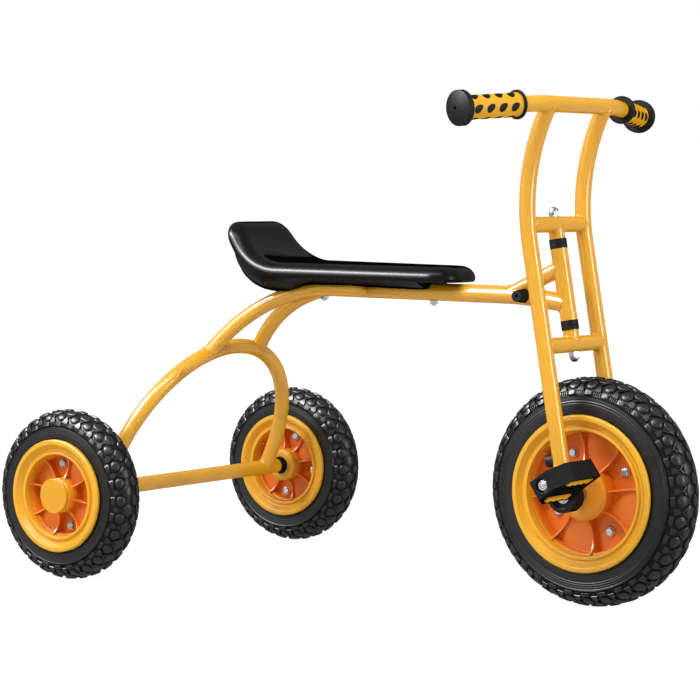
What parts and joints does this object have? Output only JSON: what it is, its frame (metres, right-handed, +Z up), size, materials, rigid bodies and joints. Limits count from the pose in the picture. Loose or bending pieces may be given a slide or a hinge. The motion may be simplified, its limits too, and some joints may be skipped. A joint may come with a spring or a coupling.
{
  "type": "tricycle",
  "caption": "Kindergarten tricycle: yellow-orange tube frame with a raked twin-leg fork, low black seat, direct-drive pedals on the large front wheel, and smaller rear wheels",
  "frame": {"origin": "on the floor, under the middle of the tricycle's outside length and width", "axes": "+X forward, +Y to the rider's left, +Z up"},
  "size_m": [1.0084, 0.619, 0.711],
  "materials": {
    "tyre_rubber": "black tyre rubber, dull",
    "orange_paint": "yellow-orange powder coat, slightly orange-peeled",
    "orange_plastic": "yellow-orange moulded plastic, satin",
    "black_plastic": "black moulded plastic, satin",
    "seat_plastic": "black moulded plastic, smooth",
    "black_paint": "black powder coat, satin",
    "black_rubber": "black rubber",
    "zinc": "bright zinc plate"
  },
  "bodies": {
    "frame": {"backbone_tube": "orange_paint", "head_tube": "orange_paint", "gusset_tube": "orange_paint", "branch_tube_right": "orange_paint", "branch_tube_left": "orange_paint", "rear_hoop": "orange_paint", "rear_axle_tube": "orange_paint", "rear_axle": "zinc", "axle_collars": "black_plastic", "steering_bumpers": "black_rubber", "head_bushes": "black_plastic", "seat_shell": "seat_plastic", "seat_base": "black_plastic"},
    "steering": {"fork_leg_right": "orange_paint", "fork_leg_left": "orange_paint", "crosspiece_upper": "orange_paint", "crosspiece_lower": "orange_paint", "head_races": "black_plastic", "steering_bolt": "zinc", "handlebar": "orange_paint", "grip_ends_right": "black_plastic", "grip_ends_left": "black_plastic", "grip_sleeve_right": "orange_plastic", "grip_sleeve_left": "orange_plastic", "bearing_housing_right": "black_plastic", "bearing_housing_left": "black_plastic", "leg_plugs": "black_plastic"},
    "front_wheel": {"front_tyre": "tyre_rubber", "front_rim_right": "orange_plastic", "front_rim_left": "orange_plastic", "front_axle": "zinc", "crank_right": "black_paint", "crank_left": "black_paint", "pedal_pins": "zinc"},
    "pedal_right": {"pedal_right": "black_plastic", "pedal_strips_right": "orange_plastic"},
    "pedal_left": {"pedal_left": "black_plastic", "pedal_strips_left": "orange_plastic"},
    "rear_wheel_right": {"rear_tyre_right": "tyre_rubber", "rear_rim_outer_right": "orange_plastic", "rear_rim_inner_right": "orange_plastic", "rear_hub_cap_right": "orange_plastic"},
    "rear_wheel_left": {"rear_tyre_left": "tyre_rubber", "rear_rim_outer_left": "orange_plastic", "rear_rim_inner_left": "orange_plastic", "rear_hub_cap_left": "orange_plastic"}
  },
  "joints": [
    {"name": "steer", "type": "hinge", "parent": "frame", "child": "steering", "pos_m": [0.2914, 0, 0.44514], "axis": [-0.1822, 0, 0.9833], "range_deg": [-50, 50]},
    {"name": "front_wheel_spin", "type": "hinge", "parent": "steering", "child": "front_wheel", "pos_m": [0.34425, 0, 0.16], "axis": [0, 1, 0], "continuous": true},
    {"name": "pedal_right_spin", "type": "hinge", "parent": "front_wheel", "child": "pedal_right", "pos_m": [0.38233, -0.151, 0.18922], "axis": [0, 1, 0], "continuous": true},
    {"name": "pedal_left_spin", "type": "hinge", "parent": "front_wheel", "child": "pedal_left", "pos_m": [0.30617, 0.151, 0.13078], "axis": [0, 1, 0], "continuous": true},
    {"name": "rear_wheel_right_spin", "type": "hinge", "parent": "frame", "child": "rear_wheel_right", "pos_m": [-0.37975, -0.2725, 0.1245], "axis": [0, 1, 0], "continuous": true},
    {"name": "rear_wheel_left_spin", "type": "hinge", "parent": "frame", "child": "rear_wheel_left", "pos_m": [-0.37975, 0.2725, 0.1245], "axis": [0, 1, 0], "continuous": true}
  ]
}
